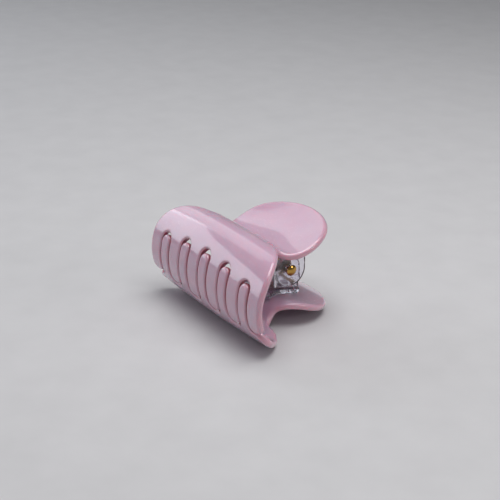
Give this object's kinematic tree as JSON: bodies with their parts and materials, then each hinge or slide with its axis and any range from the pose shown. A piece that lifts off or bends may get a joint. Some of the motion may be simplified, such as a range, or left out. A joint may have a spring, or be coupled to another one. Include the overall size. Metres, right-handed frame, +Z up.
{
  "type": "claw hair clip",
  "caption": "Claw hair clip with two curved comb jaws that interlock into a barrel, round handles and a sprung hinge.",
  "frame": {"origin": "centre of the clip's footprint, on the surface that it lies on", "axes": "+X along the hinge pin towards the pin's domed head, +Y towards the round handles, +Z up"},
  "size_m": [0.078, 0.0534, 0.0386],
  "materials": {
    "acetate": "polished pale pink cellulose acetate",
    "clear_plastic": "clear moulded polycarbonate",
    "gold_metal": "polished gold-tone plating"
  },
  "bodies": {
    "lower_half": {"lower_shell": "acetate", "lower_bracket": "clear_plastic", "hinge_pin": "gold_metal", "torsion_spring": "gold_metal"},
    "upper_half": {"upper_shell": "acetate", "upper_bracket": "clear_plastic"}
  },
  "joints": [
    {"name": "clip_hinge", "type": "hinge", "parent": "lower_half", "child": "upper_half", "pos_m": [0, 0.00808, 0.0193], "axis": [-1, 0, 0], "range_deg": [0, 55], "stiffness_Nm_per_rad": 0.15, "springref_deg": -34.38, "deforming": ["torsion_spring"]}
  ]
}
